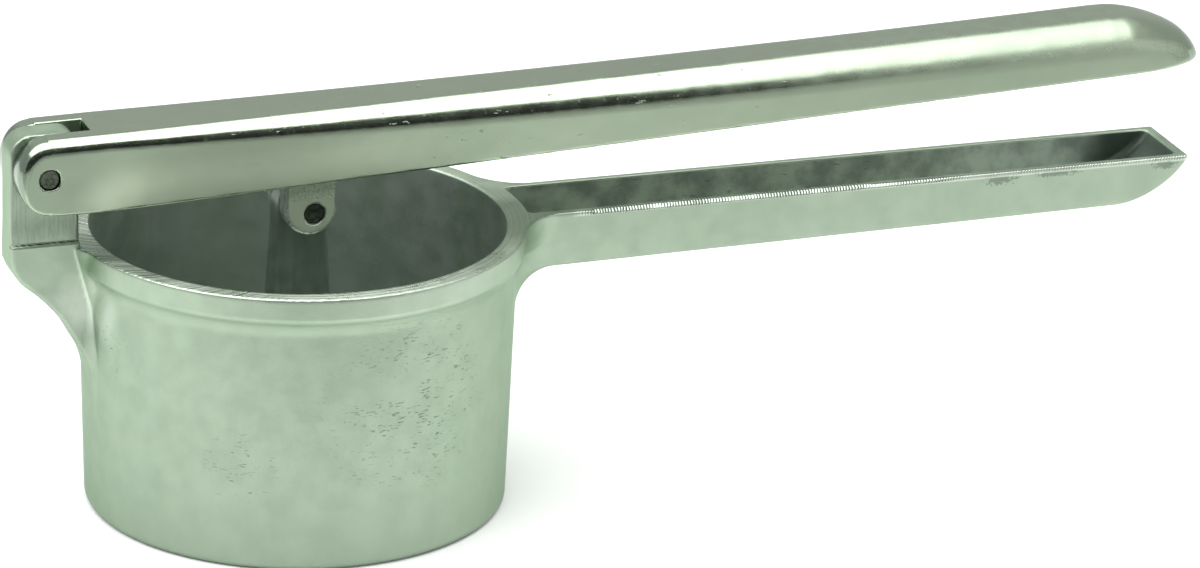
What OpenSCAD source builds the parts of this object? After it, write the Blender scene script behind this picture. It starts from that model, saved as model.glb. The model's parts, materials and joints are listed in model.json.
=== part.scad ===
// Hand potato ricer: a cast hopper with a channel handle and a press lever that carries a pivoting plunger.
// Origin: centre of the round base, on the surface it stands on. +X runs towards the handle tips, +Z is up.

/* [Cup] */
// Outer radius of the machined rim
cup_rim_r = 44; // [40:0.5:48]
// Height of the rim above the base
cup_h = 56; // [50:0.5:64]
// Inner radius at the rim
cup_mouth_r = 40.2; // [37:0.1:41]
// Inner radius just above the ledge
cup_floor_r = 39.2; // [36:0.1:40]
// Outer radius at the bottom, before the edge rounding
cup_foot_r = 41; // [40.5:0.1:43]
// Outer radius under the rim band
cup_neck_r = 42.4; // [41.6:0.1:43.5]
// Height of the rim band
band_h = 4.6; // [3:0.2:8]
// Rounding of the bottom edge
foot_round = 1.6; // [0.5:0.1:3]

/* [Strainer] */
// Height of the inner ledge that the strainer rests on
ledge_h = 3; // [2:0.2:5]
// Inner radius of the ledge
ledge_r = 35; // [32:0.5:37]
// Thickness of the strainer plate
strainer_t = 1.6; // [1:0.1:2.5]
// Radial gap between the strainer and the cup
strainer_gap = 0.3; // [0.2:0.05:0.6]
// Radius of a strainer hole
hole_r = 1.5; // [1:0.1:2]
// Centre distance of neighbouring strainer holes
hole_pitch = 5.4; // [5:0.1:8]

/* [Lower handle] */
// Distance of the handle's tip from the cup's axis
handle_tip_x = 183.6; // [160:1:200]
// Half width of the handle
handle_hw = 9.4; // [8:0.1:11]
// Depth of the handle at the cup
handle_root_d = 11.6; // [10:0.1:14]
// Depth of the handle near its tip
handle_end_d = 9.3; // [8:0.1:10.5]
// Wall thickness of the channel
handle_wall = 1.8; // [1.4:0.1:2.4]
// Radius between the underside and the sloping end, seen from the side
handle_nose_r = 8; // [6:0.25:9]
// Lean of the sloping end from upright
handle_end_angle = 33; // [25:1:40]
// Radius of the fillets between the rim and the handle's sides
root_fillet = 7; // [4:0.5:9]
// Radius of the fillet under the handle's root
under_fillet = 8.2; // [6:0.1:10]

/* [Hinge] */
// Distance of the hinge pin from the cup's axis
hinge_x = 51.5; // [50:0.1:54]
// Height of the hinge pin above the rim
hinge_up = 15.8; // [15:0.1:17]
// Radius of both pins
pin_r = 2; // [1.5:0.05:2.5]
// Radial running clearance around a pin
pin_fit = 0.06; // [0.02:0.01:0.1]
// Half thickness of the ground hinge tongue
tongue_hw = 3.1; // [2.6:0.1:3.4]
// Half thickness of the bracket below the tongue
bracket_hw = 4; // [3.6:0.1:5]
// Gap between the tongue and each lever cheek
cheek_gap = 0.15; // [0.1:0.05:0.3]

/* [Press lever] */
// Distance of the lever's tip from the cup's axis
lever_tip_x = 187; // [170:1:200]
// Half height of the rounded hinge end
lever_end_r = 7.2; // [6.5:0.1:7.6]
// Reach of the rounded hinge end past the pin
lever_end_reach = 6; // [5.6:0.1:7.2]
// Half width at the hinge
lever_hw = 9; // [8.5:0.1:10]
// Half width near the tip
lever_tip_hw = 10; // [9:0.1:11]
// Height of the lower edges above the rim, over the cup's axis
lever_low = 10.3; // [10:0.1:12]
// Rise of the lower edges per millimetre
lever_low_slope = 0.048; // [0.04:0.001:0.06]
// Height of the top above the rim, over the cup's axis
lever_top = 24.2; // [23:0.1:26]
// Rise of the top per millimetre
lever_top_slope = 0.025; // [0.02:0.001:0.03]
// Thickness of the lever's side walls
lever_wall = 2.2; // [1.8:0.1:3]
// Thickness of the lever's web
lever_web = 2.8; // [2:0.1:3.5]

/* [Plunger] */
// Distance of the plunger pin from the cup's axis
plunger_pin_x = 1.1; // [0.5:0.1:2]
// Height of the plunger pin above the rim
plunger_pin_up = 3.6; // [3:0.1:5]
// Radius of the rounded lugs
lug_r = 5.2; // [4.8:0.1:6]
// Outer face of a lug from the mid-plane
lug_face = 7.1; // [7:0.1:7.4]
// Half thickness of the stem
stem_hw = 2.5; // [2:0.1:3]
// Half width of the stem at the rim
stem_top_w = 5.1; // [4.6:0.1:5.6]
// Half width of the stem at its foot
stem_foot_w = 8; // [7:0.1:9]
// Radius of the press disc
disc_r = 33.6; // [32:0.1:33.8]
// Thickness of the press disc
disc_t = 2.4; // [2:0.1:3]
// Height of the disc's turned-up edge
disc_edge_h = 6.5; // [6:0.1:8]
// Outer bend radius of the disc's edge
disc_bend = 4; // [3.5:0.1:5]
// Gap between the closed disc and the strainer
disc_gap = 0.3; // [0.2:0.05:0.6]
// Radius of the stem's round foot
foot_r = 12; // [10:0.5:14]
// Thickness of the stem's round foot
foot_t = 3; // [2.5:0.1:4]

/* [Hidden] */
$fn = 64;
mesh_fn = 32; // roundness of the shapes inside a hull
eps = 0.01;
far = 60; // longer than any cut needs to be

hinge_z = cup_h + hinge_up;
plunger_pin_z = cup_h + plunger_pin_up;
disc_z = ledge_h + strainer_t + disc_gap;
foot_z = disc_z + disc_t;

// plain ring left between the outermost strainer holes and the ledge
hole_land = 0.5;
// rim to body transition
neck_drop = 1.5;
// wall left between the rim and the handle's channel
rim_skin = 0.5;
// how far the root fillets cut into the walls that they join
blend = 0.2;
// how far the gusset reaches into the cup's wall and up into the handle
gusset_bite = 1;
gusset_lap = 0.4;

// lower handle: how far before the tip its end depth is reached, and the centre of its nose's rounding
handle_end_run = 12;
handle_slope = atan((handle_root_d - handle_end_d) / (handle_tip_x - handle_end_run));
nose_drop = handle_root_d - handle_nose_r / cos(handle_slope);
nose_reach = handle_tip_x * cos(handle_end_angle) - handle_nose_r - nose_drop * sin(handle_end_angle);
nose_x = nose_reach / (cos(handle_end_angle) - tan(handle_slope) * sin(handle_end_angle));
nose_z = cup_h - nose_drop + nose_x * tan(handle_slope);

// bracket, seen from the side; heights are from the rim
tongue_proud = 0.35;
bracket_back = -hinge_x - lever_end_reach - tongue_proud;
bracket_step = 1.2;
bracket_nose_r = 8;
sweep_r = 34;
sweep_x = -75.7;
sweep_z = -34.3;
tongue_front = -hinge_x + 7.1;
tongue_top = 22.9;
tongue_back_round = 4.5;
shoulder_hw = 3.45;
shoulder_top = 7.8;
tongue_front_round = 3;
flare_out = 1.6;
flare_angle = 15;
flare_root_r = cup_rim_r - 1;
flare_drop = 24;

// lever; the last full section, then the nose as height above the lower edge, setback and narrowing
lever_full_x = 165;
edge_min_r = 2.9;
edge_max_r = 6.9;
nose_flat = 1.2;
lip_w = 1;
lip_t = 0.1;
nose_levels = [[0, 0, 0], [2.2, 0.6, 0.5], [5, 3.6, 1.6], [7.6, 7.4, 3.4], [9.4, 11.5, 5.6]];
slot_end_x = -hinge_x + 9.3;
channel_x = -38;
channel_end_x = 176;
channel_corner = 3;
pin_recess = 0.5;
lug_x = 0.4;
lug_z = cup_h + 4.5;
lug_gap = 0.2;

// rib across the stem's foot
rib_h = 24;

// screw
screw_r = 2.5;
screw_head_r = 4.6;
screw_len = 11;
screw_slot_w = 1;
screw_slot_d = 0.9;

function low_z(x) = cup_h + lever_low + lever_low_slope * x;
function top_z(x) = cup_h + lever_top + lever_top_slope * x;
function along(x) = (x + hinge_x) / (lever_full_x + hinge_x);
function lever_half(x) = lever_hw + (lever_tip_hw - lever_hw) * along(x);
function edge_r(x) = edge_min_r + (edge_max_r - edge_min_r) * sin(90 * along(x));

// extrudes an outline drawn in X and Z, centred on the mid-plane
module side_plate(half_width) {
  rotate([90, 0, 0])
    linear_extrude(height = 2 * half_width, center = true)
      children();
}

// a cylinder across the mid-plane
module cross_bar(x, z, r, half_length) {
  translate([x, 0, z])
    rotate([90, 0, 0])
      cylinder(r = r, h = 2 * half_length, center = true);
}

module cup_body() {
  rotate_extrude($fn = 128)
    difference() {
      union() {
        polygon([
          [0, 0],
          [cup_foot_r - foot_round, 0],
          [cup_foot_r, foot_round],
          [cup_neck_r, cup_h - band_h - neck_drop],
          [cup_rim_r, cup_h - band_h],
          [cup_rim_r, cup_h],
          [0, cup_h]
        ]);
        intersection() {
          translate([cup_foot_r - foot_round, foot_round]) circle(r = foot_round);
          square([far, far]);
        }
      }
      polygon([
        [-eps, ledge_h],
        [cup_floor_r, ledge_h],
        [cup_mouth_r, cup_h + eps],
        [-eps, cup_h + eps]
      ]);
      translate([-eps, -eps]) square([ledge_r + eps, ledge_h + 2 * eps]);
    }
}

module cup_void() {
  rotate_extrude($fn = 128)
    polygon([
      [0, ledge_h],
      [cup_floor_r, ledge_h],
      [cup_mouth_r, cup_h],
      [cup_mouth_r, cup_h + far],
      [0, cup_h + far]
    ]);
}

module handle_outline(wall) {
  r = handle_nose_r - wall;
  intersection() {
    union() {
      polygon([
        [0, cup_h],
        [0, cup_h - handle_root_d + wall / cos(handle_slope)],
        [nose_x + r * sin(handle_slope), nose_z - r * cos(handle_slope)],
        [nose_x, nose_z],
        [nose_x + r * cos(handle_end_angle), nose_z - r * sin(handle_end_angle)],
        [handle_tip_x - wall / cos(handle_end_angle), cup_h]
      ]);
      translate([nose_x, nose_z]) circle(r = r, $fn = 128);
    }
    square([handle_tip_x + eps, cup_h]);
  }
}

module root_fillets() {
  reach = cup_rim_r + root_fillet - blend;
  cy = handle_hw + root_fillet - blend;
  cx = sqrt(pow(reach, 2) - pow(cy, 2));
  for (side = [-1, 1])
    translate([0, 0, cup_h - handle_root_d])
      linear_extrude(height = handle_root_d)
        difference() {
          polygon([
            [cup_mouth_r, 0],
            [cx, 0],
            [cx, side * cy],
            [cx * (cup_rim_r - 1) / reach, side * cy * (cup_rim_r - 1) / reach]
          ]);
          translate([cx, side * cy]) circle(r = root_fillet);
        }
}

module handle_gusset() {
  gx = cup_neck_r - gusset_bite + under_fillet;
  gz = cup_h - handle_root_d + gusset_lap - under_fillet;
  side_plate(handle_hw)
    difference() {
      translate([cup_floor_r, gz]) square([gx - cup_floor_r, under_fillet + 2 * gusset_bite]);
      translate([gx, gz]) circle(r = under_fillet);
    }
}

module lower_handle() {
  difference() {
    union() {
      side_plate(handle_hw) handle_outline(0);
      root_fillets();
      handle_gusset();
    }
    difference() {
      side_plate(handle_hw - handle_wall)
        translate([0, eps]) handle_outline(handle_wall);
      cylinder(r = cup_rim_r + rim_skin, h = 4 * far, center = true, $fn = 128);
    }
  }
}

module bracket() {
  nose_x = bracket_back + bracket_nose_r;
  nose_z = sweep_z + sqrt(pow(sweep_r + bracket_nose_r, 2) - pow(nose_x - sweep_x, 2));
  share = sweep_r / (sweep_r + bracket_nose_r);
  meet_x = sweep_x + share * (nose_x - sweep_x);
  meet_z = sweep_z + share * (nose_z - sweep_z);
  side_plate(bracket_hw)
    translate([0, cup_h])
      difference() {
        union() {
          translate([bracket_back, nose_z]) square([far, bracket_step - nose_z]);
          translate([nose_x, nose_z]) circle(r = bracket_nose_r);
          translate([nose_x, meet_z]) square([far, nose_z - meet_z]);
          translate([meet_x, sweep_z]) square([far, meet_z - sweep_z]);
        }
        translate([sweep_x, sweep_z]) circle(r = sweep_r, $fn = 128);
        translate([-2 * far, bracket_step]) square([2 * far, far]);
        translate([tongue_front, 0]) square([far, far]);
        translate([-cup_mouth_r, -far]) square([2 * far, 2 * far]);
      }
}

// thicker foot of the tongue, below the lever's round end
module shoulder() {
  side_plate(shoulder_hw)
    translate([bracket_back, cup_h])
      square([tongue_front - bracket_back, shoulder_top]);
}

module tongue() {
  back = bracket_back + tongue_back_round;
  front = tongue_front - tongue_front_round;
  side_plate(tongue_hw)
    translate([0, cup_h]) {
      translate([bracket_back, -1])
        square([tongue_front - bracket_back, tongue_top - tongue_back_round + 1]);
      translate([back, 0]) square([front - back, tongue_top]);
      translate([front, 0]) square([tongue_front_round, tongue_top - tongue_front_round]);
      translate([back, tongue_top - tongue_back_round]) circle(r = tongue_back_round);
      translate([front, tongue_top - tongue_front_round]) circle(r = tongue_front_round);
    }
}

// thickening where a bracket side runs out into the cup wall
module bracket_flare(side) {
  hull() {
    translate([0, 0, cup_h - 1])
      linear_extrude(height = 1)
        polygon([
          [-cup_rim_r - flare_out, side * bracket_hw],
          [-flare_root_r * cos(flare_angle), side * flare_root_r * sin(flare_angle)],
          [-cup_mouth_r, side * (bracket_hw - 1)]
        ]);
    translate([-cup_floor_r - 1, side * (bracket_hw - 1), cup_h - flare_drop])
      cube([2, 2, eps], center = true);
  }
}

module hopper_casting() {
  color("silver")
    difference() {
      union() {
        cup_body();
        difference() {
          union() {
            lower_handle();
            bracket();
            bracket_flare(1);
            bracket_flare(-1);
          }
          cup_void();
        }
        shoulder();
        tongue();
      }
      cross_bar(-hinge_x, hinge_z, pin_r, far);
    }
}

module strainer_disc() {
  rows = ceil(ledge_r / (hole_pitch * sin(60)));
  reach = ledge_r - hole_r - hole_land;
  color("lightgray")
    translate([0, 0, ledge_h])
      difference() {
        cylinder(r = cup_floor_r - strainer_gap, h = strainer_t);
        for (row = [-rows : rows], col = [-rows : rows]) {
          x = hole_pitch * (col + (row % 2 == 0 ? 0 : 0.5));
          y = hole_pitch * sin(60) * row;
          if (norm([x, y]) < reach)
            translate([x, y, -1]) cylinder(r = hole_r, h = strainer_t + 2, $fn = 16);
        }
      }
}

module hinge_pin() {
  color("dimgray")
    cross_bar(-hinge_x, hinge_z, pin_r, lever_hw - pin_recess);
}

// thin slice of the lever: two rounded top corners over two square lower edges
module lever_slice(x) {
  r = edge_r(x);
  hw = lever_half(x);
  for (side = [-1, 1]) {
    translate([x, side * (hw - r), top_z(x) - r])
      rotate([0, 90, 0])
        cylinder(r = r, h = eps, $fn = mesh_fn);
    translate([x, side * (hw - lip_w / 2) - lip_w / 2, low_z(x)])
      cube([eps, lip_w, lip_t]);
  }
}

// hinge end: a thick disc with rounded rims, a little flattened end-on
module lever_hinge_end() {
  r = edge_r(-hinge_x);
  translate([-hinge_x, 0, hinge_z])
    scale([lever_end_reach / lever_end_r, 1, 1])
      rotate([90, 0, 0])
        rotate_extrude($fn = 2 * mesh_fn)
          union() {
            translate([0, -lever_hw]) square([lever_end_r - r, 2 * lever_hw]);
            translate([0, r - lever_hw]) square([lever_end_r, 2 * (lever_hw - r)]);
            for (side = [-1, 1])
              translate([lever_end_r - r, side * (lever_hw - r)]) circle(r = r, $fn = mesh_fn);
          }
}

// one level of the sloping nose, from the lower edge up to the top
module lever_nose(up, back, narrow) {
  r = lever_tip_hw - narrow - nose_flat;
  for (side = [-1, 1])
    translate([lever_tip_x - back - r, side * nose_flat, low_z(lever_tip_x) + up])
      cylinder(r = r, h = eps, $fn = mesh_fn);
}

// the rounded corners are deeper than the lever near its tip, so the shell is cut off at its lower edge
module lever_shell() {
  difference() {
    hull() {
      lever_hinge_end();
      for (x = [0 : 55 : lever_full_x]) lever_slice(x);
      for (level = nose_levels) lever_nose(level[0], level[1], level[2]);
    }
    rotate([90, 0, 0])
      linear_extrude(2 * far, center = true)
        polygon([
          [-hinge_x, 0], [lever_tip_x + 1, 0],
          [lever_tip_x + 1, low_z(lever_tip_x + 1)], [-hinge_x, low_z(-hinge_x)]
        ]);
  }
}

// hollow underside of the lever
module lever_channel() {
  hull()
    for (x = [channel_x, channel_end_x]) {
      hw = lever_half(x) - lever_wall;
      translate([x, -hw, low_z(x) - 1]) cube([eps, 2 * hw, 1]);
      translate([x, -hw, top_z(x) - edge_r(x) - 2]) cube([eps, 2 * hw, 1]);
      translate([x, channel_corner - hw, top_z(x) - lever_web - 1])
        cube([eps, 2 * (hw - channel_corner), 1]);
    }
}

// gap for the hinge tongue, closed above by the web past the slot's end
module lever_slot() {
  half = tongue_hw + cheek_gap;
  translate([-far - hinge_x, -half, 0]) cube([far + hinge_x + slot_end_x, 2 * half, 4 * far]);
  translate([-far - hinge_x, -half, 0])
    cube([far + hinge_x + channel_x + 1, 2 * half, top_z(channel_x) - lever_web]);
}

// a pair of lugs that hold the plunger pin
module lever_lugs() {
  inner = stem_hw + lug_gap;
  for (side = [-1, 1])
    translate([0, side * (inner + lug_face) / 2, 0])
      side_plate((lug_face - inner) / 2) {
        translate([lug_x, lug_z]) circle(r = lug_r);
        translate([lug_x - lug_r, lug_z]) square([2 * lug_r, top_z(0) - 1 - lug_z]);
      }
}

module press_lever() {
  color("gainsboro")
    difference() {
      union() {
        difference() {
          lever_shell();
          lever_channel();
          lever_slot();
        }
        lever_lugs();
      }
      cross_bar(-hinge_x, hinge_z, pin_r + pin_fit, far);
      cross_bar(plunger_pin_x, plunger_pin_z, pin_r, lug_face + 1);
    }
}

module plunger_pin() {
  color("dimgray")
    cross_bar(plunger_pin_x, plunger_pin_z, pin_r, lug_face - pin_recess);
}

module plunger_stem() {
  color("darkgray")
    difference() {
      union() {
        side_plate(stem_hw) {
          polygon([
            [-stem_foot_w, foot_z],
            [stem_foot_w, foot_z],
            [stem_top_w, cup_h],
            [stem_top_w, plunger_pin_z],
            [-stem_top_w, plunger_pin_z],
            [-stem_top_w, cup_h]
          ]);
          translate([0, plunger_pin_z]) circle(r = stem_top_w);
        }
        translate([0, 0, foot_z]) cylinder(r = foot_r, h = foot_t);
        rotate([0, 0, 90])
          side_plate(stem_hw)
            polygon([[-stem_foot_w, foot_z], [stem_foot_w, foot_z], [0, foot_z + rib_h]]);
      }
      cross_bar(plunger_pin_x, plunger_pin_z, pin_r + pin_fit, far);
      translate([0, 0, disc_z]) cylinder(r = screw_r, h = screw_len);
    }
}

module press_disc() {
  color("silver")
    translate([0, 0, disc_z])
      rotate_extrude($fn = 128)
        difference() {
          union() {
            square([disc_r - disc_bend, disc_edge_h]);
            translate([0, disc_bend]) square([disc_r, disc_edge_h - disc_bend]);
            translate([disc_r - disc_bend, disc_bend]) circle(r = disc_bend);
          }
          square([screw_r, far]);
          polygon([[0, -eps], [screw_head_r, -eps], [screw_r, screw_head_r - screw_r], [0, far]]);
          translate([0, disc_bend]) square([disc_r - disc_t, far]);
          translate([0, disc_t]) square([disc_r - disc_bend, far]);
          translate([disc_r - disc_bend, disc_bend]) circle(r = disc_bend - disc_t);
        }
}

module plunger_screw() {
  color("dimgray")
    translate([0, 0, disc_z]) {
      difference() {
        rotate_extrude()
          polygon([
            [0, 0],
            [screw_head_r, 0],
            [screw_r, screw_head_r - screw_r],
            [screw_r, screw_len],
            [0, screw_len]
          ]);
        translate([-screw_slot_w / 2, -far / 2, -eps]) cube([screw_slot_w, far, screw_slot_d]);
      }
    }
}

hopper_casting();
strainer_disc();
hinge_pin();
press_lever();
plunger_pin();
plunger_stem();
press_disc();
plunger_screw();
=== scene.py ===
"""A cast-aluminium hand potato ricer on a pale studio floor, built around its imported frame."""

import json
import math

import bpy
import numpy as np
from mathutils import Matrix, Vector


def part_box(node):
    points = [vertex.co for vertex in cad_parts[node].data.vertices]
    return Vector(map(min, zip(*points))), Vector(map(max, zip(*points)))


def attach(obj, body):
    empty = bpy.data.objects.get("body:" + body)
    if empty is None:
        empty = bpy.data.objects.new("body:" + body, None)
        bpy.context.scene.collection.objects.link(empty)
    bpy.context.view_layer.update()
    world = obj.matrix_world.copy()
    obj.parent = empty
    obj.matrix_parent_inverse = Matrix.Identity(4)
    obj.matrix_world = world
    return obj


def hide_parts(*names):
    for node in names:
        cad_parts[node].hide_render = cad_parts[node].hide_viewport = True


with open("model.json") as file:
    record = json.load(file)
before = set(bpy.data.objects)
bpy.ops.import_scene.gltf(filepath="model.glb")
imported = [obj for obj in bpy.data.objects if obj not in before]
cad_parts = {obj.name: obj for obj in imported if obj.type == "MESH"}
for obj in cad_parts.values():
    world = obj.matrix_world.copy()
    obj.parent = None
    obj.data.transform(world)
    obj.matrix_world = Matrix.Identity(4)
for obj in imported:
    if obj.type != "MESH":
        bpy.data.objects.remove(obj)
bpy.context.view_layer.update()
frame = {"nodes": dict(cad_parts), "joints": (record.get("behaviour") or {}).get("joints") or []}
MM = 0.001

# ---------------------------------------------------------------- dimensions, in millimetres


def box_mm(node):
    lo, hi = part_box(node)
    return np.array(lo) / MM, np.array(hi) / MM


def joint_mm(name):
    return np.array(next(j for j in frame["joints"] if j["name"] == name)["pos_m"]) / MM


HOPPER_LO, HOPPER_HI = box_mm("hopper_casting")
LEVER_LO, LEVER_HI = box_mm("press_lever")
STEM_LO, STEM_HI = box_mm("plunger_stem")
HINGE = joint_mm("lever_hinge")
PIVOT = joint_mm("plunger_swing")

RIM_Z = HINGE[2] - 15.8
RIM_R = HOPPER_HI[1]
MOUTH_R = RIM_R - 3.8
FLOOR_R = MOUTH_R - 1.0
FOOT_R = RIM_R - 3.0
NECK_R = RIM_R - 1.6
BAND_H = 4.6
NECK_Z = RIM_Z - BAND_H - 1.5
LEDGE_H = 3.0
LEDGE_R = 35.0
BAND_SLOPE = 0.94
TAPER_SCALE = 0.9996
HOLLOW_SCALE = 0.9998
NOT_CUT = -9.0

HANDLE_HW = 9.4
HANDLE_TIP_X = HOPPER_HI[0]
HANDLE_WALL = 1.8
HANDLE_DRAFT = 0.02
HANDLE_ROOT_D = 11.6
HANDLE_END_D = 9.3
HANDLE_END_RUN = 12.0
HANDLE_NOSE_R = 8.0
HANDLE_END_LEAN = math.radians(33)
ROOT_FILLET = 7.6

BRACKET_BACK = HOPPER_LO[0]
BRACKET_HW = 4.0
BRACKET_STEP = RIM_Z + 1.2
BRACKET_NOSE_R = 8.0
SWEEP_R = 34.0
SWEEP_X = -75.7
SWEEP_Z = RIM_Z - 34.3
SWEEP_RUN_OUT = 1.3
TONGUE_HW = 3.1
SHOULDER_HW = 3.45
SHOULDER_TOP = HINGE[2] - 8.0
TONGUE_FRONT = HINGE[0] + 7.1
TONGUE_TOP = HOPPER_HI[2]

LEVER_END_R = 7.2
LEVER_END_REACH = HINGE[0] - LEVER_LO[0]
LEVER_WALL = 2.2
LEVER_WEB = 2.8
LEVER_LOW_SLOPE = 0.048
NOSE_SCALE = 0.62
CHEEK_GAP = 0.15
SLOT_END_X = HINGE[0] + 9.3
CHANNEL_X = HINGE[0] + 13.5
LUG = (PIVOT[0] - 0.7, PIVOT[2] + 0.9)
LUG_R = 5.2
LUG_FACE = 7.1
LUG_INNER = 2.7
STEM_HW = 2.5
STEM_TOP_R = 5.1
STEM_RIB_H = 24
SCREW_R = 2.5
SCREW_DEPTH = 8.6
PIN_R = 2.0
PIN_FIT = 0.06
PRESSED_IN = 0.03
LUG_HOLE = 0.04


# ---------------------------------------------------------------- solid shapes as distance functions


def either(a, b, r):
    """Union of two solids with a hollow fillet of radius r where they meet."""
    u = np.maximum(r - a, 0)
    v = np.maximum(r - b, 0)
    return np.maximum(r, np.minimum(a, b)) - np.sqrt(u * u + v * v)


def both(a, b, r):
    """What two solids share, with the edge between them rounded to radius r."""
    u = np.maximum(r + a, 0)
    v = np.maximum(r + b, 0)
    return np.minimum(-r, np.maximum(a, b)) + np.sqrt(u * u + v * v)


def cut(a, b, r):
    """Solid a with b taken away, and the edge rounded to radius r."""
    return both(a, -b, r)


def disc(u, v, centre, radius):
    return np.hypot(u - centre[0], v - centre[1]) - radius


def smooth_step(x, low, high):
    t = np.clip((x - low) / (high - low), 0, 1)
    return t * t * (3 - 2 * t)


def handle_profile(x, z):
    """Side outline of the lower handle: a straight underside, a round corner and a leaning end."""
    slope = (HANDLE_ROOT_D - HANDLE_END_D) / (HANDLE_TIP_X - HANDLE_END_RUN)
    under = RIM_Z - HANDLE_ROOT_D + slope * x - z
    end = (x - HANDLE_TIP_X) * math.cos(HANDLE_END_LEAN) + (RIM_Z - z) * math.sin(HANDLE_END_LEAN)
    return both(under, end, HANDLE_NOSE_R)


def bracket_profile(x, z):
    """Side outline of the bracket: upright back, round corner, then a hollow sweep down to the cup."""
    nose_x = BRACKET_BACK + BRACKET_NOSE_R
    nose_z = SWEEP_Z + math.sqrt((SWEEP_R + BRACKET_NOSE_R) ** 2 - (nose_x - SWEEP_X) ** 2)
    along = (nose_x - SWEEP_X) * (z - SWEEP_Z) - (nose_z - SWEEP_Z) * (x - SWEEP_X)
    corner = (z < nose_z) & (along > 0)
    run_out = SWEEP_RUN_OUT * smooth_step(z, SWEEP_Z + 16, SWEEP_Z + 6)
    plain = np.maximum(BRACKET_BACK - x, run_out - disc(x, z, (SWEEP_X, SWEEP_Z), SWEEP_R))
    plain = np.maximum(plain, SWEEP_Z - z)
    return np.where(corner, disc(x, z, (nose_x, nose_z), BRACKET_NOSE_R), plain)


def pin_hole(x, z, centre, clearance):
    return disc(x, z, (centre[0], centre[2]), PIN_R + clearance)


def cup_outside(r, z):
    """The cup's slightly tapering wall with the band under its rim."""
    cone = (r - FOOT_R - (NECK_R - FOOT_R) * z / NECK_Z) * TAPER_SCALE
    under_band = (NECK_Z - z + BAND_SLOPE * (r - NECK_R)) / math.hypot(1, BAND_SLOPE)
    return either(cone, both(r - RIM_R, under_band, 0.5), 1.4)


def cup_hollow(r, z):
    """The inside of the cup above the strainer's ledge."""
    growth = (MOUTH_R - FLOOR_R) * (z - LEDGE_H) / (RIM_Z - LEDGE_H)
    return both((r - FLOOR_R - growth) * HOLLOW_SCALE, LEDGE_H - z, 0.8)


def bracket_wedges(x, wide, z):
    """The two small facets that join the bracket's sides to the cup."""
    facing = np.array((-170, 98, -45)) / 201
    flat = facing[0] * (x + RIM_R + 1.6) + facing[1] * (wide - BRACKET_HW) + facing[2] * (z - RIM_Z)
    return np.maximum(np.maximum(flat, x + 35), -x - 47)


def hinge_tongue(x, wide, z, plate):
    """The tongue above the rim, with the bracket's step and a thicker foot below the lever's round end."""
    below = RIM_Z - 3 - z
    tongue = both(both(BRACKET_BACK - x, z - TONGUE_TOP, 4.5), x - TONGUE_FRONT, 3.0)
    tongue = np.maximum(both(tongue, wide - TONGUE_HW, 0.35), below)
    step = both(np.maximum(plate, x - TONGUE_FRONT), z - BRACKET_STEP, 0.3)
    swell = TONGUE_HW + (SHOULDER_HW - TONGUE_HW) * smooth_step(z, SHOULDER_TOP, BRACKET_STEP)
    foot = both(both(BRACKET_BACK - x, x - TONGUE_FRONT, 0.8), wide - swell, 0.5)
    foot = np.maximum(foot, np.maximum(z - SHOULDER_TOP, below))
    return np.minimum(tongue, np.minimum(step, foot))


def filed_bevel(x, y, z):
    """The bevel filed along the near edge of the handle, running out towards the cup and the tip."""
    filed = 0.85 - 0.5 * smooth_step(x, 95, 135)
    bevel = (-y - HANDLE_HW + z - RIM_Z + filed) / math.sqrt(2)
    fading = 3 * (1 - smooth_step(x, RIM_R + 5, RIM_R + 15))
    return np.where(x > RIM_R, bevel - fading, NOT_CUT)


def hopper(x, y, z):
    """Cup, channel handle, bracket and hinge tongue: one casting."""
    r = np.hypot(x, y)
    wide = np.abs(y)
    profile = handle_profile(x, z)
    side = wide - HANDLE_HW + HANDLE_DRAFT * (RIM_Z - z)
    bar = np.maximum(both(profile, side, 0.6), -x)
    body = either(cup_outside(r, z), bar, ROOT_FILLET)

    outline = np.maximum(bracket_profile(x, z), x + MOUTH_R)
    plate = both(outline, wide - BRACKET_HW, 0.7)
    fairing = 0.9 + 1.3 * smooth_step(z, RIM_Z - 12, RIM_Z - 24)
    body = either(body, np.maximum(plate, z - RIM_Z - 12), fairing)
    body = either(body, bracket_wedges(x, wide, z), 0.3)
    body = both(body, z - RIM_Z, 0.45)
    body = np.minimum(body, hinge_tongue(x, wide, z, plate))

    body = cut(body, cup_hollow(r, z), 0.4)
    body = cut(body, r - LEDGE_R, 0.4)
    body = both(body, -z, 1.6)
    trough = both(profile + HANDLE_WALL, side + HANDLE_WALL, 1.6)
    trough = both(trough, RIM_R + 0.9 - r, 1.4)
    body = cut(body, np.maximum(trough, -x), 0.3)
    body = np.maximum(body, filed_bevel(x, y, z))
    return cut(body, pin_hole(x, z, HINGE, PRESSED_IN), 0.25)


def lever_top(x):
    """Height of the lever's very slightly hollow top, kept within the CAD's box."""
    return np.minimum(RIM_Z + 24.04 + 0.0206 * x + 4.4e-5 * x * x, LEVER_HI[2])


def lever_low(x):
    """Height of the lever's lower edges."""
    return RIM_Z + 10.29 + LEVER_LOW_SLOPE * x


def lever_half(x):
    """Half the lever's width, which grows a little towards the tip."""
    return 9.05 + 0.0057 * (x + 51.5)


def lever_nose(x, wide, z):
    """How far past the lever's sloping, rounded end a point is."""
    up = (z - lever_low(LEVER_HI[0])) / 11
    back = 12.8 * np.clip(up, 0, 1.4) ** 1.7
    round_off = 10.5 * (1 - np.sqrt(np.clip(1 - (wide / 10.6) ** 2, 0.02, 1)))
    return (x - LEVER_HI[0] + 0.1 + back + round_off) * NOSE_SCALE


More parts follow.
